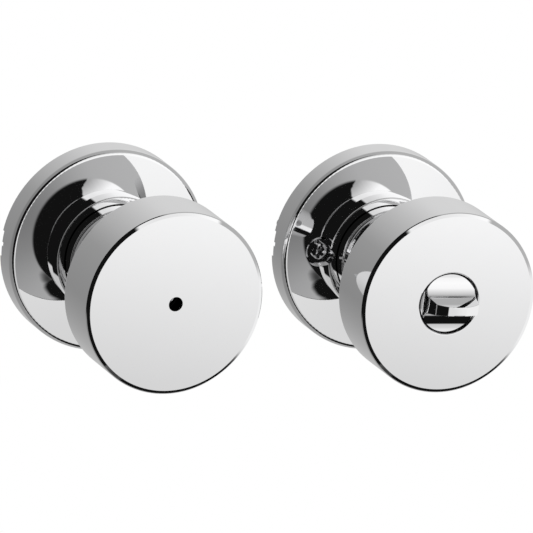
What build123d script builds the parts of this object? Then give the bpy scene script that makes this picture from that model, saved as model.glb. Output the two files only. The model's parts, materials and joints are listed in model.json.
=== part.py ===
from build123d import *
import os
from math import asin, atan2, cos, degrees, hypot, radians, sin, sqrt, tan

# Privacy knob lock: the outside and the inside half of one round-rose knob set, side by side.
# Each half is modelled about its own knob axis, with x to the right, y up and z out of the door,
# and the door face at z = 0. A half is then turned so that its knob points to -Y and its y is +Z.
# All lengths are in millimetres and all angles in degrees.

# Layout
HALF_SPACING = 94.3

# Polished faces are very gently crowned
CROWN_RADIUS = 690.0

# Rose: a cast cover with a raised hub that the knob's neck turns in
ROSE_DIAMETER = 66.7
ROSE_HEIGHT = 9.0
ROSE_WALL = 1.4
ROSE_EDGE_RADIUS = 1.6
HUB_HEIGHT = 5.4
HUB_WIDTH = 2.3
HUB_EDGE_RADIUS = 0.45
PRY_NOTCH_LENGTH = 8.3
PRY_NOTCH_DEPTH = 1.0
PRY_SLOT_LENGTH = 1.3
PRY_SLOT_DEPTH = 1.9

# Knob: a drum-shaped cap on a back that flares like a trumpet from its grooved neck
KNOB_DIAMETER = 59.6
DRUM_WIDTH = 18.5
KNOB_EDGE_RADIUS = 2.8
CAP_WALL = 1.6
CAP_SPIGOT_LENGTH = 3.0
CAP_SPIGOT_WIDTH = 2.0
HOLE_EDGE_RADIUS = 0.5
BACK_LENGTH = 25.7
BACK_ARC_RADIUS = 38.0
BACK_WALL = 2.6
BACK_EDGE_RADIUS = 0.9
BACK_LAND = 1.5
GROOVE_WIDTH = 1.3
GROOVE_DEPTH = 0.6
NECK_DIAMETER = 34.0
NECK_LENGTH = 4.6
NECK_INSERT = 2.9
NECK_EDGE_RADIUS = 0.25
POCKET_OFFSET = 8.7
BOSS_WALL = 3.0
BOSS_SETBACK = 4.0

# Chassis inside each rose
PLATE_THICKNESS = 2.5
BUSH_WALL = 2.45
BUSH_FLANGE_WIDTH = 1.5
BUSH_FLANGE_THICKNESS = 0.8
SHANK_DIAMETER = 16.0
SHANK_TAIL = 2.2
SHANK_SETBACK = 8.0
SOCKET_ACROSS_FLATS = 8.1
SOCKET_DEPTH = 20.0
RING_THICKNESS = 1.0
RING_WIDTH = 2.9
RING_GROOVE_DEPTH = 0.7
RING_OPENING = 40.0

# Driver and return spring
DRIVER_THICKNESS = 1.2
DRIVER_RIM = 3.8
EAR_WIDTH = 5.0
EAR_REACH = 20.0
KNOB_TURN = 55.0
STOP_MARGIN = 1.0
LUG_WIDTH = 3.4
LUG_DEPTH = 2.5
TAB_THICKNESS = 1.3
TAB_WIDTH = 5.0
SPRING_STRIP = 0.7
SPRING_PITCH = 1.1
SPRING_HALF_TURNS = 4
SPRING_HOOK = 1.6
ANCHOR_WIDTH = 5.0
ANCHOR_DEPTH = 2.2

# Fasteners
SCREW_OFFSET = 1.2
SCREW_DIAMETER = 3.5
SCREW_SHANK_DIAMETER = 3.1
SCREW_THREAD_DEPTH = 0.5
SCREW_TIP_DEPTH = 22.0
SCREW_HEAD_DIAMETER = 5.2
SCREW_HEAD_HEIGHT = 1.5
SCREW_DOME_HEIGHT = 0.8
SCREW_RECESS_LENGTH = 3.2
SCREW_RECESS_WIDTH = 0.75
SCREW_RECESS_DEPTH = 0.9
SCREW_BOSS_WALL = 2.7
DIMPLE_DIAMETER = 10.0
DIMPLE_DEPTH = 1.0
DIMPLE_SLOPE = 1.0
SCALLOP_GAP = 0.3
POST_DIAMETER = 7.0
POST_LENGTH = 18.0
POST_THREAD_DEPTH = 15.0

# Spindle and emergency release in the outside half
SPINDLE_LENGTH = 40.0
SPINDLE_BORE = 5.5
SPINDLE_SETBACK = 2.0
SPINDLE_PIN_DIAMETER = 2.5
SPINDLE_PIN_HEIGHT = 9.4
RELEASE_HOLE_DIAMETER = 4.6
STEM_HEAD_DIAMETER = 8.4
STEM_HEAD_LENGTH = 6.0
STEM_SLOT_WIDTH = 1.2
STEM_SLOT_DEPTH = 2.5
STEM_FORK_LENGTH = 9.0
STEM_REAR = 7.0
CLIP_THICKNESS = 0.8
CLIP_WIDTH = 1.5
CLIP_GROOVE_DEPTH = 0.5
CLIP_OPENING = 60.0

# Turn button in the inside half
BUTTON_HOLE_DIAMETER = 20.2
BUTTON_GAP = 0.6
BUTTON_SETBACK = 0.8
BLADE_HEIGHT = 9.6
BLADE_THICKNESS = 2.8
BLADE_DRAFT = 18.0
BLADE_CROWN_RADIUS = 13.0
BLADE_ROOT_RADIUS = 4.0
BLADE_EDGE_RADIUS = 0.5
BUTTON_BOSS_DIAMETER = 10.0
BUTTON_BOSS_TAIL = 3.0
GUIDE_DEPTH = 14.4
GUIDE_WALL = 1.8
GUIDE_FLANGE = 1.5
WASHER_WIDTH = 3.5
WASHER_THICKNESS = 0.5
WASHER_CONE = 0.4
BAR_LENGTH = 42.0
BAR_WIDTH = 4.2
BAR_THICKNESS = 1.6
BAR_SQUARE = 3.6
BAR_SQUARE_LENGTH = 16.0

# Fits
RUNNING_CLEARANCE = 0.06
PRESS_CLEARANCE = 0.02
SMALL_GAP = 0.3
STEM_CLEARANCE = 0.1

# Places along the knob axis, from the door outwards
rose_inside = ROSE_HEIGHT - ROSE_WALL
hub_front = ROSE_HEIGHT + HUB_HEIGHT
bead_front = hub_front + NECK_LENGTH
groove_front = bead_front + GROOVE_WIDTH
drum_back = groove_front + BACK_LENGTH
cap_back = drum_back + BACK_LAND
knob_front = drum_back + DRUM_WIDTH
cap_inside = knob_front - CAP_WALL
neck_back = hub_front - NECK_INSERT
shank_front = drum_back - SHANK_SETBACK
driver_front = rose_inside - SMALL_GAP
driver_back = driver_front - DRIVER_THICKNESS
spring_front = driver_back - SMALL_GAP
bush_flange_front = PLATE_THICKNESS + BUSH_FLANGE_THICKNESS
spring_back = bush_flange_front + SMALL_GAP
spindle_front = SOCKET_DEPTH - SPINDLE_SETBACK
guide_back = cap_inside - GUIDE_DEPTH
guide_floor = guide_back + GUIDE_FLANGE
button_back = guide_floor + WASHER_THICKNESS + WASHER_CONE + SMALL_GAP
button_boss_back = guide_back - BUTTON_BOSS_TAIL
journal_front = shank_front + STEM_CLEARANCE + SMALL_GAP

# Radii about the knob axis
rose_r = ROSE_DIAMETER / 2
cavity_r = rose_r - ROSE_WALL
neck_r = NECK_DIAMETER / 2
mouth_r = neck_r + SMALL_GAP
hub_r = mouth_r + HUB_WIDTH
groove_r = neck_r - GROOVE_DEPTH
knob_r = KNOB_DIAMETER / 2
cap_inner_r = knob_r - CAP_WALL
spigot_r = cap_inner_r - PRESS_CLEARANCE
shank_r = SHANK_DIAMETER / 2
bush_r = shank_r + RUNNING_CLEARANCE + BUSH_WALL
tab_inner_r = bush_r + SMALL_GAP
tab_outer_r = tab_inner_r + TAB_THICKNESS
spring_r = tab_outer_r + SMALL_GAP + SPRING_STRIP / 2
spring_outer_r = spring_r + SPRING_HALF_TURNS * SPRING_PITCH / 2 + SPRING_STRIP
screw_x = hub_r + SCREW_OFFSET
screw_hole_r = SCREW_DIAMETER / 2 + SMALL_GAP / 2
screw_boss_r = screw_hole_r + SCREW_BOSS_WALL
stem_r = SPINDLE_BORE / 2 - STEM_CLEARANCE
button_hole_r = BUTTON_HOLE_DIAMETER / 2
button_r = button_hole_r - BUTTON_GAP

# The trumpet-shaped back is one arc, from the groove to the drum
back_reach = knob_r - neck_r
back_chord = hypot(back_reach, BACK_LENGTH)
back_lean = sqrt(BACK_ARC_RADIUS ** 2 - (back_chord / 2) ** 2) / back_chord
back_centre_r = (knob_r + neck_r) / 2 + BACK_LENGTH * back_lean
back_centre_z = (drum_back + groove_front) / 2 - back_reach * back_lean


def face_height(rim_r, rim_height, radius):
    """Height of a crowned face at a radius, from the place of its rim."""
    return rim_height + sqrt(CROWN_RADIUS ** 2 - radius ** 2) - sqrt(CROWN_RADIUS ** 2 - rim_r ** 2)


# Places on the crowned faces
dimple_floor = face_height(rose_r, ROSE_HEIGHT, screw_x) - DIMPLE_DEPTH
button_floor = face_height(knob_r, knob_front, button_hole_r) - BUTTON_SETBACK


def disc(radius, back, front):
    """Solid cylinder on the knob axis."""
    return Pos(0, 0, back) * extrude(Circle(radius), front - back)


def tube(outer, inner, back, front):
    """Plain ring on the knob axis."""
    return Pos(0, 0, back) * extrude(Circle(outer) - Circle(inner), front - back)


def turned(*points):
    """Body of revolution from the corners (radius, height) of its section."""
    section = Polyline(*points, close=True)
    return revolve(Plane.XZ * make_face(section), Axis.Z)


def crowned(radius, hole_r, back, rim_height):
    """Disc on the knob axis with a crowned front and a hole through it."""
    points = [(r, face_height(radius, rim_height, r)) for r in (radius, (radius + hole_r) / 2, hole_r)]
    sides_and_back = Polyline(points[2], (hole_r, back), (radius, back), points[0])
    return revolve(Plane.XZ * make_face(sides_and_back + ThreePointArc(*points)), Axis.Z)


def block(width, depth, back, front, at=(0, 0)):
    """Upright block of width x and depth y, centred at a point."""
    return Pos(at[0], at[1], back) * extrude(Rectangle(width, depth), front - back)


def rims(solid, radius, height):
    """Circular edges of one radius at one height."""
    circles = solid.edges().filter_by(GeomType.CIRCLE)
    return [e for e in circles if abs(e.radius - radius) < 1e-4 and abs(e.center().Z - height) < 1e-4]


def sides():
    """The two fastener places, left and right of the axis."""
    return {"left": -screw_x, "right": screw_x}


def rose(with_screws):
    """Cast rose cover, open at the back, with its hub and the pry notch at its left edge."""
    cover = crowned(rose_r, neck_r, 0, ROSE_HEIGHT) - disc(cavity_r, 0, rose_inside)
    cover = fillet(rims(cover, rose_r, ROSE_HEIGHT), ROSE_EDGE_RADIUS)
    if with_screws:
        cover = dimpled(cover)
    hub = disc(hub_r, rose_inside, hub_front)
    hub = fillet(rims(hub, hub_r, hub_front), HUB_EDGE_RADIUS)
    cover = cover + hub
    cover = cover - disc(mouth_r, rose_inside, hub_front)
    if with_screws:
        scallop_r = SCREW_HEAD_DIAMETER / 2 + SCALLOP_GAP
        for x in sides().values():
            cover = cover - Pos(x, 0) * disc(scallop_r, dimple_floor, hub_front)
            cover = cover - Pos(x, 0) * disc(screw_hole_r, 0, hub_front)
    notch = block(2 * ROSE_WALL, PRY_NOTCH_LENGTH, 0, PRY_NOTCH_DEPTH, (-rose_r, 0))
    slot = block(2 * ROSE_WALL, PRY_SLOT_LENGTH, 0, PRY_SLOT_DEPTH, (-rose_r, 0))
    return cover - notch - slot


def dimpled(cover):
    """Rose cover with a pressed dimple for each screw head."""
    top_r = DIMPLE_DIAMETER / 2
    floor_r = top_r - DIMPLE_SLOPE
    mouth_front = dimple_floor + 2 * DIMPLE_DEPTH
    under = dimple_floor - ROSE_WALL
    for x in sides().values():
        cover = cover + Pos(x, 0) * disc(top_r, under, ROSE_HEIGHT - ROSE_EDGE_RADIUS)
        pressed = turned((0, dimple_floor), (floor_r, dimple_floor),
                         (top_r + DIMPLE_SLOPE, mouth_front), (0, mouth_front))
        cover = cover - Pos(x, 0) * pressed
    return cover


def mounting_plate(for_screws):
    """Round plate behind the rose, with the stop lugs and the spring's anchor."""
    plate = disc(cavity_r - SMALL_GAP / 3, 0, PLATE_THICKNESS)
    ear_angle = degrees(atan2(EAR_WIDTH / 2, EAR_REACH))
    lug_angle = degrees(atan2(LUG_WIDTH / 2, EAR_REACH - LUG_DEPTH))
    swing = KNOB_TURN + ear_angle + lug_angle + STOP_MARGIN
    lug_r = EAR_REACH - LUG_DEPTH / 2
    for ear in (90, 270):
        for angle in (ear - swing, ear + swing):
            lug = block(LUG_DEPTH, LUG_WIDTH, PLATE_THICKNESS, driver_front, (lug_r, 0))
            plate = plate + Rot(0, 0, angle) * lug
    anchor_y = spring_outer_r + SMALL_GAP + ANCHOR_DEPTH / 2
    anchor = block(ANCHOR_WIDTH, ANCHOR_DEPTH, PLATE_THICKNESS, spring_front, (0, anchor_y))
    anchor = anchor - block(SPRING_STRIP + SMALL_GAP, ANCHOR_DEPTH, spring_back, spring_front, (0, anchor_y))
    plate = plate + anchor
    for x in sides().values():
        if for_screws:
            boss = Pos(x, 0) * disc(screw_boss_r, PLATE_THICKNESS, dimple_floor - ROSE_WALL)
            plate = plate + boss - Pos(x, 0) * disc(screw_hole_r, 0, ROSE_HEIGHT)
        else:
            plate = plate - Pos(x, 0) * disc(POST_DIAMETER / 2, 0, PLATE_THICKNESS)
    return plate - disc(bush_r + PRESS_CLEARANCE, 0, PLATE_THICKNESS)


def bush():
    """Flanged bearing bush that the knob's shank turns in."""
    bore_r = shank_r + RUNNING_CLEARANCE
    flange_r = bush_r + BUSH_FLANGE_WIDTH
    nose_front = driver_back - SMALL_GAP
    return turned((bore_r, 0), (bush_r, 0), (bush_r, PLATE_THICKNESS), (flange_r, PLATE_THICKNESS),
                  (flange_r, bush_flange_front), (bush_r, bush_flange_front),
                  (bush_r, nose_front), (bore_r, nose_front))


def driver():
    """Stamped driver on the shank: two stop ears, and two tabs that hold the spring's inner hook."""
    plate = disc(shank_r + DRIVER_RIM + TAB_THICKNESS, driver_back, driver_front)
    plate = plate + block(EAR_WIDTH, 2 * EAR_REACH, driver_back, driver_front)
    tab_back = bush_flange_front + SMALL_GAP
    tabs = tube(tab_outer_r, tab_inner_r, tab_back, driver_back)
    tabs = tabs & block(TAB_WIDTH, tab_outer_r, tab_back, driver_back, (0, tab_outer_r / 2 + tab_inner_r / 2))
    tabs = tabs - block(SPRING_STRIP + SMALL_GAP, 2 * tab_outer_r, tab_back, driver_back)
    return plate + tabs - disc(shank_r + PRESS_CLEARANCE, driver_back, driver_front)


def return_spring():
    """Flat spiral spring of half turns, with a hook at each end, wound from the top."""
    strip = Sketch()
    for turn in range(SPRING_HALF_TURNS):
        radius = spring_r + turn * SPRING_PITCH / 2
        side = 1 if turn % 2 == 0 else -1
        centre = 0 if side == 1 else -SPRING_PITCH / 2
        ring = Circle(radius + SPRING_STRIP / 2) - Circle(radius - SPRING_STRIP / 2)
        half = Rectangle(4 * radius, 2 * radius, align=(Align.CENTER, Align.MIN if side == 1 else Align.MAX))
        strip = strip + Pos(centre, 0) * (ring & half)
    inner_end = -spring_r
    outer_end = -spring_r - SPRING_HALF_TURNS * SPRING_PITCH / 2
    hook = Rectangle(SPRING_HOOK + SPRING_STRIP / 2, SPRING_STRIP, align=(Align.MIN, Align.CENTER))
    strip = strip + Pos(inner_end - SPRING_STRIP / 2, 0) * hook
    strip = strip + Pos(outer_end + SPRING_STRIP, 0) * Rot(0, 0, 180) * hook
    return Pos(0, 0, spring_back) * Rot(0, 0, -90) * extrude(strip, spring_front - spring_back)


def shank():
    """Steel shank pressed into the knob: square socket at the door end, round bore at the knob end."""
    body = disc(shank_r, -SHANK_TAIL, shank_front)
    ring_front = -SMALL_GAP
    groove = tube(shank_r + 1, shank_r - RING_GROOVE_DEPTH, ring_front - RING_THICKNESS, ring_front)
    socket = block(SOCKET_ACROSS_FLATS, SOCKET_ACROSS_FLATS, -SHANK_TAIL, SOCKET_DEPTH)
    return body - groove - socket - disc(SPINDLE_BORE / 2, SOCKET_DEPTH, shank_front)


def snap_ring(inner, width, back, thickness, opening):
    """Open snap ring with its gap at the bottom."""
    ring = tube(inner + width, inner, back, back + thickness)
    reach = 2 * (inner + width)
    gap = Polyline((0, 0), (-reach * sin(radians(opening / 2)), -reach * cos(radians(opening / 2))),
                   (reach * sin(radians(opening / 2)), -reach * cos(radians(opening / 2))), close=True)
    return ring - Pos(0, 0, back) * extrude(make_face(gap), thickness)


def retaining_ring():
    """Snap ring that holds the shank in its bush, behind the plate."""
    inner = shank_r - RING_GROOVE_DEPTH + PRESS_CLEARANCE
    return snap_ring(inner, RING_WIDTH, -SMALL_GAP - RING_THICKNESS, RING_THICKNESS, RING_OPENING)


def back_point(height, wall=0):
    """Point (radius, height) on the knob's back, or on its pocket at a wall's thickness inside it."""
    return back_centre_r - sqrt((BACK_ARC_RADIUS + wall) ** 2 - (height - back_centre_z) ** 2), height


def knob_back():
    """Cast back of the knob: neck, groove, trumpet flare and the spigot that carries the cap."""
    pocket_floor = groove_front + POCKET_OFFSET
    boss_r = shank_r + BOSS_WALL
    boss_front = shank_front - BOSS_SETBACK
    spigot_front = cap_back + CAP_SPIGOT_LENGTH
    spigot_in = spigot_r - CAP_SPIGOT_WIDTH
    bore_r = shank_r + PRESS_CLEARANCE
    pocket_front = back_centre_z + sqrt((BACK_ARC_RADIUS + BACK_WALL) ** 2 - (back_centre_r - spigot_in) ** 2)
    pocket = [back_point(h, BACK_WALL) for h in (pocket_front, (pocket_front + pocket_floor) / 2, pocket_floor)]
    neck = Polyline((bore_r, neck_back), (neck_r, neck_back), (neck_r, bead_front), (groove_r, bead_front),
                    (groove_r, groove_front), (neck_r, groove_front))
    flare = ThreePointArc(*[back_point(h) for h in (groove_front, (groove_front + drum_back) / 2, drum_back)])
    rim = Polyline((knob_r, drum_back), (knob_r, cap_back), (spigot_r, cap_back), (spigot_r, spigot_front),
                   (spigot_in, spigot_front), pocket[0])
    boss = Polyline(pocket[2], (boss_r, pocket_floor), (boss_r, boss_front), (bore_r, boss_front),
                    (bore_r, neck_back))
    body = revolve(Plane.XZ * make_face(neck + flare + rim + ThreePointArc(*pocket) + boss), Axis.Z)
    body = fillet(rims(body, knob_r, drum_back), BACK_EDGE_RADIUS)
    return fillet(rims(body, neck_r, bead_front) + rims(body, neck_r, groove_front), NECK_EDGE_RADIUS)


def knob_cap(hole_diameter):
    """Drawn drum of the knob: crowned face, round edge and the hole in its middle."""
    hole_r = hole_diameter / 2
    cap = crowned(knob_r, hole_r, cap_back, knob_front)
    cap = fillet(rims(cap, knob_r, knob_front), KNOB_EDGE_RADIUS)
    cap = fillet(rims(cap, hole_r, face_height(knob_r, knob_front, hole_r)), HOLE_EDGE_RADIUS)
    return cap - disc(cap_inner_r, cap_back, cap_inside)


def threaded_post():
    """Post pressed through the plate, which stands into the door and takes a mounting screw."""
    post = disc(POST_DIAMETER / 2 - PRESS_CLEARANCE, -POST_LENGTH, PLATE_THICKNESS)
    return post - disc(SCREW_DIAMETER / 2, -POST_LENGTH, POST_THREAD_DEPTH - POST_LENGTH)


def mounting_screw():
    """Oval-head mounting screw with a cross recess, a plain shank in the rose and a thread in the door."""
    head_r = SCREW_HEAD_DIAMETER / 2
    thread_r = SCREW_DIAMETER / 2
    plain_r = SCREW_SHANK_DIAMETER / 2
    rim_front = dimple_floor + SCREW_HEAD_HEIGHT - SCREW_DOME_HEIGHT
    head_front = dimple_floor + SCREW_HEAD_HEIGHT
    dome_r = (head_r ** 2 + SCREW_DOME_HEIGHT ** 2) / (2 * SCREW_DOME_HEIGHT)
    half_angle = asin(head_r / dome_r) / 2
    dome_mid = (dome_r * sin(half_angle), head_front - dome_r * (1 - cos(half_angle)))
    lower = Polyline((0, -SCREW_TIP_DEPTH), (thread_r, -SCREW_TIP_DEPTH), (thread_r, -SCREW_THREAD_DEPTH),
                     (plain_r, -SCREW_THREAD_DEPTH), (plain_r, dimple_floor),
                     (head_r, dimple_floor), (head_r, rim_front))
    dome = ThreePointArc((head_r, rim_front), dome_mid, (0, head_front))
    axis_side = Polyline((0, head_front), (0, -SCREW_TIP_DEPTH))
    screw = revolve(Plane.XZ * make_face(lower + dome + axis_side), Axis.Z)
    recess_back = head_front - SCREW_RECESS_DEPTH
    arm = block(SCREW_RECESS_LENGTH, SCREW_RECESS_WIDTH, recess_back, head_front)
    for angle in (45, 135):
        screw = screw - Rot(0, 0, angle) * arm
    return screw


def drive_spindle():
    """Hollow square spindle that the outside knob drives the latch with."""
    across = SOCKET_ACROSS_FLATS - 2 * PRESS_CLEARANCE
    spindle = block(across, across, -SPINDLE_LENGTH, spindle_front)
    spindle = spindle - disc(SPINDLE_BORE / 2, -SPINDLE_LENGTH, spindle_front)
    return spindle - spindle_pin_space(SPINDLE_PIN_DIAMETER / 2)


def spindle_pin_space(radius):
    """Cylinder along x from the spindle's wall to the outside of the shank."""
    start = SPINDLE_BORE / 2 + SMALL_GAP
    length = shank_r - start
    pin = extrude(Circle(radius), length)
    return Pos(start, 0, SPINDLE_PIN_HEIGHT) * Rot(0, 90, 0) * pin


def spindle_pin():
    """Pin that fixes the spindle in the shank, just short of the shank's outside."""
    pin = spindle_pin_space(SPINDLE_PIN_DIAMETER / 2 - PRESS_CLEARANCE)
    return pin & disc(shank_r - RUNNING_CLEARANCE, 0, groove_front)


def release_stem():
    """Stem behind the release hole: slotted head in front, fork for the turn bar at the back."""
    head_back = journal_front - STEM_CLEARANCE
    head_front = head_back + STEM_HEAD_LENGTH
    stem = disc(stem_r, STEM_REAR, head_back) + disc(STEM_HEAD_DIAMETER / 2, head_back, head_front)
    stem = stem - block(STEM_HEAD_DIAMETER, STEM_SLOT_WIDTH, head_front - STEM_SLOT_DEPTH, head_front)
    fork = block(BAR_WIDTH + SMALL_GAP, BAR_THICKNESS + SMALL_GAP, STEM_REAR, STEM_REAR + STEM_FORK_LENGTH)
    groove = tube(stem_r + 1, stem_r - CLIP_GROOVE_DEPTH, stem_clip_back(), stem_clip_back() + CLIP_THICKNESS)
    return stem - fork - groove


def stem_clip_back():
    """Place of the stem's clip, midway between the spindle's end and the bottom of the socket."""
    return (spindle_front + SOCKET_DEPTH - CLIP_THICKNESS) / 2


def release_clip():
    """Clip that keeps the release stem from falling out of the knob."""
    inner = stem_r - CLIP_GROOVE_DEPTH + PRESS_CLEARANCE
    return snap_ring(inner, CLIP_WIDTH, stem_clip_back(), CLIP_THICKNESS, CLIP_OPENING)


def button_guide():
    """Cup behind the knob's face that guides the turn button."""
    guide = disc(button_hole_r + GUIDE_WALL, guide_back, cap_inside)
    guide = guide - disc(button_hole_r, guide_floor, cap_inside)
    return guide - disc(BUTTON_BOSS_DIAMETER / 2 + SMALL_GAP, guide_back, guide_floor)


def turn_button():
    """Round button with a crowned blade that stands out between two concave flanks."""
    blade_front = button_floor + BLADE_HEIGHT
    half_front = BLADE_THICKNESS / 2
    half_root = half_front + BLADE_HEIGHT * tan(radians(BLADE_DRAFT))
    reach = 2 * button_r
    section = make_face(Polyline((-reach, button_back), (reach, button_back), (reach, button_floor),
                                 (half_root, button_floor), (half_front, blade_front), (-half_front, blade_front),
                                 (-half_root, button_floor), (-reach, button_floor), close=True))
    roots = [v for v in section.vertices() if abs(abs(v.X) - half_root) < 1e-4]
    section = fillet(roots, BLADE_ROOT_RADIUS)
    edges = [v for v in section.vertices() if abs(v.Y - blade_front) < 1e-4]
    section = fillet(edges, BLADE_EDGE_RADIUS)
    button = disc(button_r, button_back, blade_front) & extrude(Plane.YZ * section, reach, both=True)
    crown_back = blade_front - BLADE_CROWN_RADIUS
    crown = Pos(0, 0, crown_back) * Rot(90, 0, 0) * Cylinder(BLADE_CROWN_RADIUS, 2 * reach)
    button = button & (crown + block(2 * reach, 2 * reach, button_back, crown_back))
    button = button + disc(BUTTON_BOSS_DIAMETER / 2, button_boss_back, button_back)
    square = BAR_SQUARE + 2 * PRESS_CLEARANCE
    socket = block(square, square, button_boss_back, journal_front + BAR_SQUARE_LENGTH)
    groove_r_inner = BUTTON_BOSS_DIAMETER / 2 - CLIP_GROOVE_DEPTH
    groove = tube(button_r, groove_r_inner, button_clip_back(), button_clip_back() + CLIP_THICKNESS)
    return button - socket - groove


def button_clip_back():
    """Place of the button's clip, just behind the guide's flange."""
    return guide_back - SMALL_GAP - CLIP_THICKNESS


def button_clip():
    """Clip that keeps the turn button in its guide."""
    inner = BUTTON_BOSS_DIAMETER / 2 - CLIP_GROOVE_DEPTH + PRESS_CLEARANCE
    return snap_ring(inner, CLIP_WIDTH, button_clip_back(), CLIP_THICKNESS, CLIP_OPENING)


def button_washer():
    """Cone-shaped spring washer that keeps the turn button where it is set."""
    inner = BUTTON_BOSS_DIAMETER / 2 + SMALL_GAP
    outer = inner + WASHER_WIDTH
    return turned((inner, guide_floor + WASHER_CONE), (outer, guide_floor),
                  (outer, guide_floor + WASHER_THICKNESS),
                  (inner, guide_floor + WASHER_CONE + WASHER_THICKNESS))


def turn_bar():
    """Bar behind the turn button: square end, round journal and the flat tail that works the latch."""
    journal_back = SOCKET_DEPTH + SMALL_GAP
    bar = disc(stem_r, journal_back, journal_front)
    bar = bar + block(BAR_SQUARE, BAR_SQUARE, journal_front, journal_front + BAR_SQUARE_LENGTH)
    return bar + block(BAR_WIDTH, BAR_THICKNESS, -BAR_LENGTH, journal_back)


def knob_half(side, with_screws, hole_diameter):
    """Pieces that both halves have, named for their side."""
    pieces = {
        "rose": rose(with_screws),
        "mounting_plate": mounting_plate(with_screws),
        "bush": bush(),
        "return_spring": return_spring(),
        "driver": driver(),
        "shank": shank(),
        "retaining_ring": retaining_ring(),
        "knob_back": knob_back(),
        "knob_cap": knob_cap(hole_diameter),
    }
    return {f"{side}_{name}": piece for name, piece in pieces.items()}


def outside_half():
    """Outside half, with the posts, the spindle and the emergency release."""
    pieces = knob_half("outside", False, RELEASE_HOLE_DIAMETER)
    pieces["outside_shank"] = pieces["outside_shank"] - spindle_pin_space(SPINDLE_PIN_DIAMETER / 2)
    for place, x in sides().items():
        pieces[f"{place}_post"] = Pos(x, 0) * threaded_post()
    pieces["drive_spindle"] = drive_spindle()
    pieces["spindle_pin"] = spindle_pin()
    pieces["release_stem"] = release_stem()
    pieces["release_clip"] = release_clip()
    return pieces


def inside_half():
    """Inside half, with the mounting screws and the turn button."""
    pieces = knob_half("inside", True, BUTTON_HOLE_DIAMETER)
    for place, x in sides().items():
        pieces[f"{place}_screw"] = Pos(x, 0) * mounting_screw()
    pieces["button_guide"] = button_guide()
    pieces["button_washer"] = button_washer()
    pieces["turn_button"] = turn_button()
    pieces["button_clip"] = button_clip()
    pieces["turn_bar"] = turn_bar()
    return pieces


os.makedirs("parts", exist_ok=True)
for half, place in ((outside_half(), 0), (inside_half(), HALF_SPACING)):
    for node, piece in half.items():
        export_step(Location((place, 0, 0), (90, 0, 0)) * piece, f"parts/{node}.step")
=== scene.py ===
"""Studio scene for a privacy knob set: two polished chrome knobs on round roses, side by side."""
import json
import math

import bmesh
import bpy
from mathutils import Matrix, Vector


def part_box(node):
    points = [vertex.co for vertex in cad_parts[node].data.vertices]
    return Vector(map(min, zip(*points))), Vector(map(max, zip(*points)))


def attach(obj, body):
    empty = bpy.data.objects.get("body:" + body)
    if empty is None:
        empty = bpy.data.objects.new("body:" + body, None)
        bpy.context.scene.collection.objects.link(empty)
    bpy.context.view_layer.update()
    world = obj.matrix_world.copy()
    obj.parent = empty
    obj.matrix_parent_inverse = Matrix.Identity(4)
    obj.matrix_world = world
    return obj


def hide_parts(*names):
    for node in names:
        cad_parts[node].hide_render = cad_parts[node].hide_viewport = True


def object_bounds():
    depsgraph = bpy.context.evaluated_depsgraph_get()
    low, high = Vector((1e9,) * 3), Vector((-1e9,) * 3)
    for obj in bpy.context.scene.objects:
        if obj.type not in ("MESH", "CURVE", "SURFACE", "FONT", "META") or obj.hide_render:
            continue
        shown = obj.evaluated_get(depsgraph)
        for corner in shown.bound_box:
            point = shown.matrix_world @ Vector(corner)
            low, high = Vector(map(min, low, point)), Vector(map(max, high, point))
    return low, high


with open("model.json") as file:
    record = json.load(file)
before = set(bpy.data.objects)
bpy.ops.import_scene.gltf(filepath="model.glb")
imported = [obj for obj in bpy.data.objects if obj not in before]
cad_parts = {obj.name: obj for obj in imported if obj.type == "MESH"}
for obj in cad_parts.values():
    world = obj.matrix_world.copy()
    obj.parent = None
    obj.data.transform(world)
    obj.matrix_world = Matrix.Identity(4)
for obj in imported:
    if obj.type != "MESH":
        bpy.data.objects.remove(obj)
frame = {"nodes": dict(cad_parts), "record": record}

cad_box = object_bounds()
scene = bpy.context.scene
MM = 0.001

# The view. The picture is square; its sizes are in pixels.
PICTURE_WIDTH = 533
PIXELS_PER_MM = 3.145
TO_CAMERA = Vector((-0.4077, -0.8717, 0.2717)).normalized()
UPRIGHT = Vector((0.0, 0.2976, 0.9547))      # the camera is rolled until the two knobs stand level
SUBJECT = Vector((47.15, -25.0, 0.0)) * MM   # between the knobs, within their depth
SUBJECT_PIXEL = (263.7, 266.1)               # where the subject point falls in the picture
CAMERA_DISTANCE = 3.0
SENSOR_WIDTH = 36.0
FAR_CLIP = 100.0

# The studio, as grey levels that the chrome mirrors. Angles are in degrees.
REAR_LEVELS = [(-1.0, 0.22), (-0.41, 0.27), (0.0, 0.42), (0.41, 0.58), (1.0, 0.85)]   # from left to right
REAR_LIFT = [(-1.0, 0.9), (-0.27, 0.95), (0.27, 1.14), (0.42, 1.24), (1.0, 1.24)]     # from low to high
SIDE_LEVELS = [(-1.0, 0.19), (-0.63, 0.25), (0.0, 0.37), (0.41, 0.43), (1.0, 0.46)]   # from left to right
RIGHT_LEVEL = 0.88                           # of the right wall, low down
RIGHT_START = (0.55, 0.7)                    # from left to right
RIGHT_TOP = (0.0, -0.15)                     # from high to low
REAR_START = (0.4, 0.85)                     # depth over which the side walls turn into the rear wall
OPENING_SLOPE = math.radians(17.5)
OPENING_LEVEL = 0.006
OPENING_HEART = 20.0                         # all within this angle of the mirrored view is inside too
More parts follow.
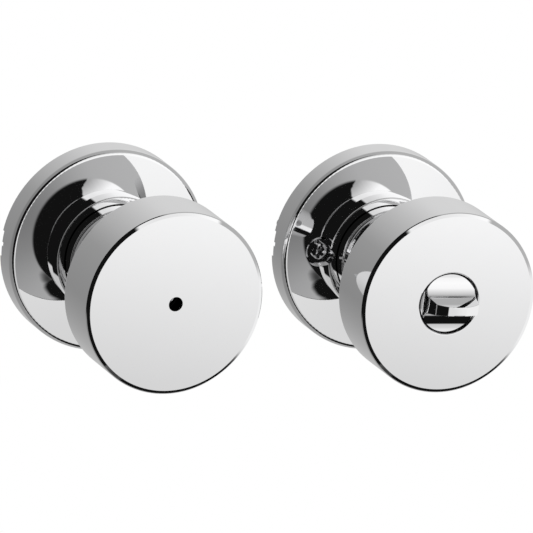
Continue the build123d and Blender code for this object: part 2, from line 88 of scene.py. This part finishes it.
# So is all within these: each an azimuth, an elevation and an angle around it.
OPENING_FEET = [(35.0, -48.0, 21.0), (3.0, -50.0, 9.0), (66.0, -42.0, 12.0)]
PANEL_LEVELS = [(-90, 0.45), (-35, 0.55), (-20.6, 0.68), (-16, 0.80), (-11, 0.94), (5, 1.0),
                (22, 0.95), (36, 0.65), (50, 0.38), (90, 0.38)]                       # by elevation
PANEL_LIFT = (0.93, 1.05)                    # from the left end of the panel to the right
PANEL_LIFT_SPAN = (5.0, 40.0)                # azimuths of those ends
PANEL_CORNER = (5.0, 46.9)                   # upper left corner, as azimuth and elevation
PANEL_TOP = (35.0, 55.0)                     # a point on the upper edge
PANEL_SIDE = (-8.0, -16.0)                   # a point on the left edge
PANEL_FOOT = -34.0                           # elevation of the lower edge
PANEL_FOOT_SOFTNESS = 2.0
EDGE_SOFTNESS = 0.02

STAGE_RADIUS = 8.0
STAGE_STEPS = 96
FLOOR_DROP = 0.002

# The finishes: colour, shade of the darker patches, range of roughness, and patch size in millimetres.
FINISHES = {
    "polished_chrome": ((0.97, 0.97, 0.975), 0.995, (0.015, 0.03), 6),
    "screw_chrome": ((0.80, 0.80, 0.81), 0.93, (0.06, 0.14), 1.5),
    "zinc_plated_steel": ((0.62, 0.63, 0.64), 0.72, (0.22, 0.38), 2),
    "spring_steel": ((0.30, 0.30, 0.31), 0.75, (0.25, 0.4), 1),
    "brass": ((0.76, 0.58, 0.28), 0.8, (0.18, 0.3), 1),
}
GRAIN_DETAIL = 4.0
GRAIN_SPAN = (0.3, 0.7)                      # of the noise, over which shade and roughness change

# The knob's drawn cap, whose face ends in a crisp bevel, in millimetres.
CROWN_RADIUS = 690.0
CAP_WALL = 1.6
BEVEL_STEPS = [(0.95, 23.0), (0.25, 40.0)]   # each a width along the radius and a tilt in degrees
HOLE_RADII = {"outside": 2.3, "inside": 10.1}
HOLE_ROUNDINGS = {"outside": 0.1, "inside": 0.4}
HOLE_UNDERCUT = 0.8
CAP_STEPS = 288
CROWN_STEPS = 24
LIP_STEPS = 8

# The drawn turn button: a crowned blade between two dished flanks, in millimetres.
BLADE_HEIGHT = 9.6
BLADE_HALF_THICKNESS = 1.4
BLADE_CROWN_RADIUS = 13.0
BLADE_HALF_LENGTH = 8.5                      # at its foot
BLADE_END_DRAFT = math.radians(9)
FLANK_TILT = math.radians(80)
FLANK_ROOT_RADIUS = 1.2
DISH_RADIUS = 10.0
DISH_TILT = math.radians(33)                 # where the dish turns up into the flank
BOSS_RADIUS = 5.0
BOSS_BORE_RADIUS = 3.0
BOSS_GROOVE_RADIUS = 4.5
DISC_THICKNESS = 2.0
BUTTON_COLUMNS = 200
ROW_STEPS = (6, 48, 10, 30, 8)               # over the blade's top, flank and root, the dish and the floor
FIRST_ROW = 0.05                             # from the blade's middle
LAST_ROW_MARGIN = 0.01                       # from the button's rim

# A cut across the blade follows from these, as heights over the floor and places from the blade's middle.
ROOT_HEIGHT = DISH_RADIUS * (1 - math.cos(DISH_TILT)) + FLANK_ROOT_RADIUS * math.cos(DISH_TILT)
FLANK_FOOT = ROOT_HEIGHT - FLANK_ROOT_RADIUS * math.cos(FLANK_TILT)
FLANK_Z = BLADE_HALF_THICKNESS + (BLADE_HEIGHT - FLANK_FOOT) / math.tan(FLANK_TILT)
ROOT_Z = FLANK_Z + FLANK_ROOT_RADIUS * math.sin(FLANK_TILT)
DISH_Z = ROOT_Z - FLANK_ROOT_RADIUS * math.sin(DISH_TILT)
RIM_Z = DISH_Z + DISH_RADIUS * math.sin(DISH_TILT)


def direction(azimuth, elevation):
    """Unit vector, with azimuth from straight ahead of the knobs towards the right."""
    a, e = math.radians(azimuth), math.radians(elevation)
    return Vector((math.sin(a) * math.cos(e), -math.cos(a) * math.cos(e), math.sin(e)))


def stretch(start, end, steps):
    """Places from start to just before end."""
    return [start + (end - start) * i / steps for i in range(steps)]


class Shader:
    """A node tree, with short calls for the sums that a shader needs."""

    def __init__(self, tree):
        self.nodes, self.links = tree.nodes, tree.links
        self.nodes.clear()

    def node(self, kind, **settings):
        made = self.nodes.new(kind)
        for name, value in settings.items():
            setattr(made, name, value)
        return made

    def feed(self, socket, value):
        if isinstance(value, bpy.types.NodeSocket):
            self.links.new(value, socket)
        else:
            socket.default_value = value

    def math(self, operation, *values):
        made = self.node("ShaderNodeMath", operation=operation)
        for socket, value in zip(made.inputs, values):
            self.feed(socket, value)
        return made.outputs[0]

    def vector(self, operation, *values, output="Vector"):
        made = self.node("ShaderNodeVectorMath", operation=operation)
        for socket, value in zip(made.inputs, values):
            self.feed(socket, value)
        return made.outputs[output]

    def axes(self, vector):
        made = self.node("ShaderNodeSeparateXYZ")
        self.feed(made.inputs[0], vector)
        return made.outputs

    def span(self, value, start, end, low=0.0, high=1.0, interpolation="SMOOTHSTEP"):
        made = self.node("ShaderNodeMapRange", interpolation_type=interpolation)
        sockets = ("Value", "From Min", "From Max", "To Min", "To Max")
        for name, given in zip(sockets, (value, start, end, low, high)):
            self.feed(made.inputs[name], given)
        return made.outputs["Result"]

    def soft_edge(self, value, edge, low=0.0, high=1.0):
        return self.span(value, edge - EDGE_SOFTNESS, edge + EDGE_SOFTNESS, low, high)

    def levels(self, value, stops):
        """Grey level by position, straight between the stops."""
        first, last = stops[0][0], stops[-1][0]
        ramp = self.node("ShaderNodeValToRGB")
        self.feed(ramp.inputs[0], self.span(value, first, last, interpolation="LINEAR"))
        elements = ramp.color_ramp.elements
        elements[0].color = (stops[0][1],) * 3 + (1,)
        elements[1].color = (stops[-1][1],) * 3 + (1,)
        for position, level in stops[1:-1]:
            elements.new((position - first) / (last - first)).color = (level,) * 3 + (1,)
        return ramp.outputs["Color"]

    def blend(self, mask, below, above):
        made = self.node("ShaderNodeMix", data_type="FLOAT")
        self.feed(made.inputs[0], mask)
        self.feed(made.inputs[2], below)
        self.feed(made.inputs[3], above)
        return made.outputs[0]

    def show(self, output, surface):
        self.feed(self.node(output).inputs["Surface"], surface.outputs[0])


def side_of(shader, ray, first, second):
    """1 on the left of the great circle through two directions, 0 on its right, with a soft edge."""
    across = direction(*first).cross(direction(*second)).normalized()
    return shader.soft_edge(shader.vector("DOT_PRODUCT", ray, across, output="Value"), 0.0)


def studio():
    """Grey walls, and a dark opening in front whose right part holds a white panel."""
    world = bpy.data.worlds.new("studio")
    scene.world = world
    world.use_nodes = True
    shader = Shader(world.node_tree)
    ray = shader.node("ShaderNodeTexCoord").outputs["Generated"]
    x, y, z = shader.axes(ray)
    degrees = math.degrees(1)
    azimuth = shader.math("MULTIPLY", shader.math("ARCTAN2", x, shader.math("MULTIPLY", y, -1.0)), degrees)
    elevation = shader.math("MULTIPLY", shader.math("ARCSINE", z), degrees)

    rear = shader.math("MULTIPLY", shader.levels(x, REAR_LEVELS), shader.levels(z, REAR_LIFT))
    low_right = shader.math("MULTIPLY", shader.span(x, *RIGHT_START), shader.span(z, *RIGHT_TOP))
    sides = shader.blend(low_right, shader.levels(x, SIDE_LEVELS), RIGHT_LEVEL)
    walls = shader.blend(shader.span(y, *REAR_START), sides, rear)

    panel = shader.math("MULTIPLY", shader.levels(elevation, PANEL_LEVELS),
                        shader.span(azimuth, *PANEL_LIFT_SPAN, *PANEL_LIFT))
    under_top = side_of(shader, ray, PANEL_TOP, PANEL_CORNER)
    right_of_side = side_of(shader, ray, PANEL_CORNER, PANEL_SIDE)
    above_foot = shader.span(elevation, PANEL_FOOT - PANEL_FOOT_SOFTNESS, PANEL_FOOT + PANEL_FOOT_SOFTNESS)
    panel_mask = shader.math("MULTIPLY", shader.math("MULTIPLY", under_top, right_of_side), above_foot)
    inside = shader.blend(panel_mask, OPENING_LEVEL, panel)

    mirrored_view = Vector((-TO_CAMERA.x, TO_CAMERA.y, -TO_CAMERA.z))
    halfway = shader.vector("NORMALIZE", shader.vector("SUBTRACT", ray, mirrored_view))
    opening = shader.soft_edge(shader.axes(halfway)["Y"], math.sin(OPENING_SLOPE), 1.0, 0.0)
    caps = [(mirrored_view, OPENING_HEART)] + [(direction(a, e), spread) for a, e, spread in OPENING_FEET]
    for centre, spread in caps:
        nearness = shader.vector("DOT_PRODUCT", ray, centre, output="Value")
        around = shader.soft_edge(nearness, math.cos(math.radians(spread)))
        opening = shader.math("MAXIMUM", opening, around)

    background = shader.node("ShaderNodeBackground")
    background.inputs["Color"].default_value = (1, 1, 1, 1)
    shader.feed(background.inputs["Strength"], shader.blend(opening, walls, inside))
    shader.show("ShaderNodeOutputWorld", background)


def camera():
    """A far camera, rolled and shifted so that the subject point falls on its pixel."""
    up = (UPRIGHT - UPRIGHT.dot(TO_CAMERA) * TO_CAMERA).normalized()
    right = up.cross(TO_CAMERA)
    pixel = MM / PIXELS_PER_MM
    across, down = (PICTURE_WIDTH / 2 - place for place in SUBJECT_PIXEL)
    aim = SUBJECT + right * across * pixel - up * down * pixel
    data = bpy.data.cameras.new("camera")
    data.sensor_width = SENSOR_WIDTH
    data.lens = SENSOR_WIDTH * CAMERA_DISTANCE / (PICTURE_WIDTH * pixel)
    data.clip_end = FAR_CLIP
    made = bpy.data.objects.new("camera", data)
    scene.collection.objects.link(made)
    made.matrix_world = Matrix((right, up, TO_CAMERA)).transposed().to_4x4()
    made.matrix_world.translation = aim + TO_CAMERA * CAMERA_DISTANCE
    scene.camera = made


def paper_white():
    """A plain white that glows."""
    material = bpy.data.materials.new("paper_white")
    material.use_nodes = True
    shader = Shader(material.node_tree)
    shader.show("ShaderNodeOutputMaterial", shader.node("ShaderNodeEmission"))
    return material


def stage():
    """A white floor and a white backdrop, which only the camera sees."""
    white = paper_white()
    floor_height = cad_box[0][2] - FLOOR_DROP
    bpy.ops.mesh.primitive_circle_add(vertices=STAGE_STEPS, radius=STAGE_RADIUS, fill_type="NGON",
                                      location=(0, 0, floor_height))
    floor = bpy.context.object
    bpy.ops.mesh.primitive_uv_sphere_add(segments=STAGE_STEPS, ring_count=STAGE_STEPS // 2,
                                         radius=STAGE_RADIUS)
    backdrop = bpy.context.object
    for name, piece in (("floor", floor), ("backdrop", backdrop)):
        piece.name = name
        piece.data.materials.append(white)
        piece.visible_diffuse = piece.visible_glossy = False
        piece.visible_transmission = piece.visible_shadow = False


def plated(name, colour, shade, roughness, grain):
    """A metal whose roughness and shade vary a little over patches of the given size in millimetres."""
    material = bpy.data.materials.new(name)
    material.use_nodes = True
    shader = Shader(material.node_tree)
    noise = shader.node("ShaderNodeTexNoise")
    shader.feed(noise.inputs["Vector"], shader.node("ShaderNodeTexCoord").outputs["Object"])
    noise.inputs["Scale"].default_value = 1 / (grain * MM)
    noise.inputs["Detail"].default_value = GRAIN_DETAIL
    ramp = shader.node("ShaderNodeValToRGB")
    shader.feed(ramp.inputs[0], noise.outputs["Fac"])
    for element, position, factor in zip(ramp.color_ramp.elements, GRAIN_SPAN, (shade, 1.0)):
        element.position = position
        element.color = (*(channel * factor for channel in colour), 1)
    metal = shader.node("ShaderNodeBsdfPrincipled")
    metal.inputs["Metallic"].default_value = 1.0
    shader.feed(metal.inputs["Base Color"], ramp.outputs["Color"])
    shader.feed(metal.inputs["Roughness"], shader.span(noise.outputs["Fac"], *GRAIN_SPAN, *roughness))
    shader.show("ShaderNodeOutputMaterial", metal)
    return material


def as_piece(made, name):
    """The object that a closed mesh becomes, with its faces turned outwards."""
    bmesh.ops.recalc_face_normals(made, faces=made.faces)
    mesh = bpy.data.meshes.new(name)
    made.to_mesh(mesh)
    made.free()
    piece = bpy.data.objects.new(name, mesh)
    scene.collection.objects.link(piece)
    return piece


def turned(name, runs, axis_x):
    """Closed body of revolution about a knob's axis, in millimetres.

    A run of (radius, height) points is smooth, and one run meets the next at a sharp edge.
    """
    outline, corners = [], []
    for run in runs:
        corners.append(len(outline))
        outline += run
    made = bmesh.new()
    rings = []
    for radius, height in outline:
        ring = []
        for angle in stretch(0.0, math.tau, CAP_STEPS):
            place = Vector((axis_x + radius * math.cos(angle), -height, radius * math.sin(angle)))
            ring.append(made.verts.new(place * MM))
        rings.append(ring)
    for row, ring in enumerate(rings):
        following = rings[(row + 1) % len(rings)]
        for step in range(CAP_STEPS):
            beside = (step + 1) % CAP_STEPS
            made.faces.new((ring[step], ring[beside], following[beside], following[step])).smooth = True
    for row in corners:
        for step in range(CAP_STEPS):
            made.edges.get((rings[row][step], rings[row][(step + 1) % CAP_STEPS])).smooth = False
    return as_piece(made, name)


def knob_cap(side):
    """Drum of a knob: crowned face with its hole, bevel, side and open back."""
    node = f"{side}_knob_cap"
    low, high = (Vector(corner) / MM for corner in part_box(node))
    axis_x, radius = (low.x + high.x) / 2, (high.x - low.x) / 2
    back, front = -high.y, -low.y
    hole, rounding = HOLE_RADII[side], HOLE_ROUNDINGS[side]
    mouth = hole + rounding
    rim = radius - sum(width for width, tilt in BEVEL_STEPS)

    def face(r):
        return front + math.sqrt(CROWN_RADIUS ** 2 - r ** 2) - math.sqrt(CROWN_RADIUS ** 2 - mouth ** 2)

    crown = [(r, face(r)) for r in stretch(mouth, rim, CROWN_STEPS)]
    bevel = [(rim, face(rim))]
    for width, tilt in BEVEL_STEPS:
        r, height = bevel[-1]
        bevel.append((r + width, height - width * math.tan(math.radians(tilt))))
    lip = [(mouth - rounding * math.cos(a), face(mouth) - rounding * (1 - math.sin(a)))
           for a in stretch(0.0, math.pi / 2, LIP_STEPS)]
    inner, ceiling = radius - CAP_WALL, face(radius) - CAP_WALL
    runs = [crown, *([corner] for corner in bevel), [(radius, back)], [(inner, back)], [(inner, ceiling)],
            [(hole + HOLE_UNDERCUT, ceiling)], lip]
    piece = turned(f"{side}_drum", runs, axis_x)
    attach(piece, f"{side}_knob")
    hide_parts(node)
    return piece


def section_height(z):
    """Height of a cut across the blade, its root and its dish, by distance from the blade's middle."""
    if z >= RIM_Z:
        return 0.0
    if z >= DISH_Z:
        return DISH_RADIUS - math.sqrt(DISH_RADIUS ** 2 - (RIM_Z - z) ** 2)
    if z >= FLANK_Z:
        return ROOT_HEIGHT - math.sqrt(FLANK_ROOT_RADIUS ** 2 - (ROOT_Z - z) ** 2)
    return FLANK_FOOT + (FLANK_Z - z) * math.tan(FLANK_TILT)


def button_height(x, z):
    """Height over the button's floor: the cut across, under the blade's crown and between its ends."""
    crown = BLADE_HEIGHT - BLADE_CROWN_RADIUS + math.sqrt(BLADE_CROWN_RADIUS ** 2 - x ** 2)
    end = (BLADE_HALF_LENGTH - abs(x)) / math.tan(BLADE_END_DRAFT)
    return max(0.0, min(section_height(abs(z)), crown, end))


def button_rows(radius):
    """Places of the rows of points across the button, closest where it bends."""
    last = radius - LAST_ROW_MARGIN
    marks = [FIRST_ROW, BLADE_HALF_THICKNESS, FLANK_Z, DISH_Z, RIM_Z, last]
    half = []
    for start, end, steps in zip(marks, marks[1:], ROW_STEPS):
        half += stretch(start, end, steps)
    half.append(last)
    return [-z for z in reversed(half)] + half


def button_front(axis_x, radius, floor):
    """Front of the turn button, drawn as a height over its round floor, on a thin disc."""
    made = bmesh.new()
    grid = []
    for z in button_rows(radius):
        reach = math.sqrt(radius ** 2 - z ** 2)
        row = []
        for i in range(BUTTON_COLUMNS + 1):
            x = reach * (2 * i / BUTTON_COLUMNS - 1)
            row.append(made.verts.new(Vector((axis_x + x, -floor - button_height(x, z), z)) * MM))
        grid.append(row)
    for row, following in zip(grid, grid[1:]):
        for i in range(BUTTON_COLUMNS):
            made.faces.new((row[i], row[i + 1], following[i + 1], following[i])).smooth = True
    left, right = [row[0] for row in grid], [row[-1] for row in grid]
    border = grid[0] + right[1:] + grid[-1][-2::-1] + left[-2:0:-1]
    foot = [made.verts.new((v.co.x, (DISC_THICKNESS - floor) * MM, v.co.z)) for v in border]
    for i in range(len(border)):
        j = (i + 1) % len(border)
        made.faces.new((border[i], border[j], foot[j], foot[i])).smooth = True
        made.edges.get((border[i], border[j])).smooth = False
        made.edges.get((foot[i], foot[j])).smooth = False
    made.faces.new(foot)
    return as_piece(made, "button_front")


def turn_button():
    """Turn button: its front, and a grooved boss behind it."""
    low, high = (Vector(corner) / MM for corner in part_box("turn_button"))
    clip_low, clip_high = (Vector(corner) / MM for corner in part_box("button_clip"))
    axis_x, radius = (low.x + high.x) / 2, (high.x - low.x) / 2
    floor = -low.y - BLADE_HEIGHT
    front = button_front(axis_x, radius, floor)

    top, groove_top, groove_foot, back = floor - DISC_THICKNESS, -clip_low.y, -clip_high.y, -high.y
    corners = [(BOSS_BORE_RADIUS, top), (BOSS_RADIUS, top),
               (BOSS_RADIUS, groove_top), (BOSS_GROOVE_RADIUS, groove_top),
               (BOSS_GROOVE_RADIUS, groove_foot), (BOSS_RADIUS, groove_foot),
               (BOSS_RADIUS, back), (BOSS_BORE_RADIUS, back)]
    boss = turned("button_boss", [[corner] for corner in corners], axis_x)
    for piece in (front, boss):
        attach(piece, "button")
        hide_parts("turn_button")
    return front, boss


def dress():
    """Every node takes the finish of its material slot, and the drawn pieces that of the knobs."""
    finishes = {name: plated(name, *look) for name, look in FINISHES.items()}
    for part in frame["record"]["subparts"]:
        node = frame["nodes"][part["node"]]
        node.data.materials.clear()
        node.data.materials.append(finishes[part["material_slot"]])
    for side in HOLE_RADII:
        knob_cap(side).data.materials.append(finishes["polished_chrome"])
    for piece in turn_button():
        piece.data.materials.append(finishes["polished_chrome"])


studio()
camera()
stage()
dress()
scene.view_settings.view_transform = "Standard"
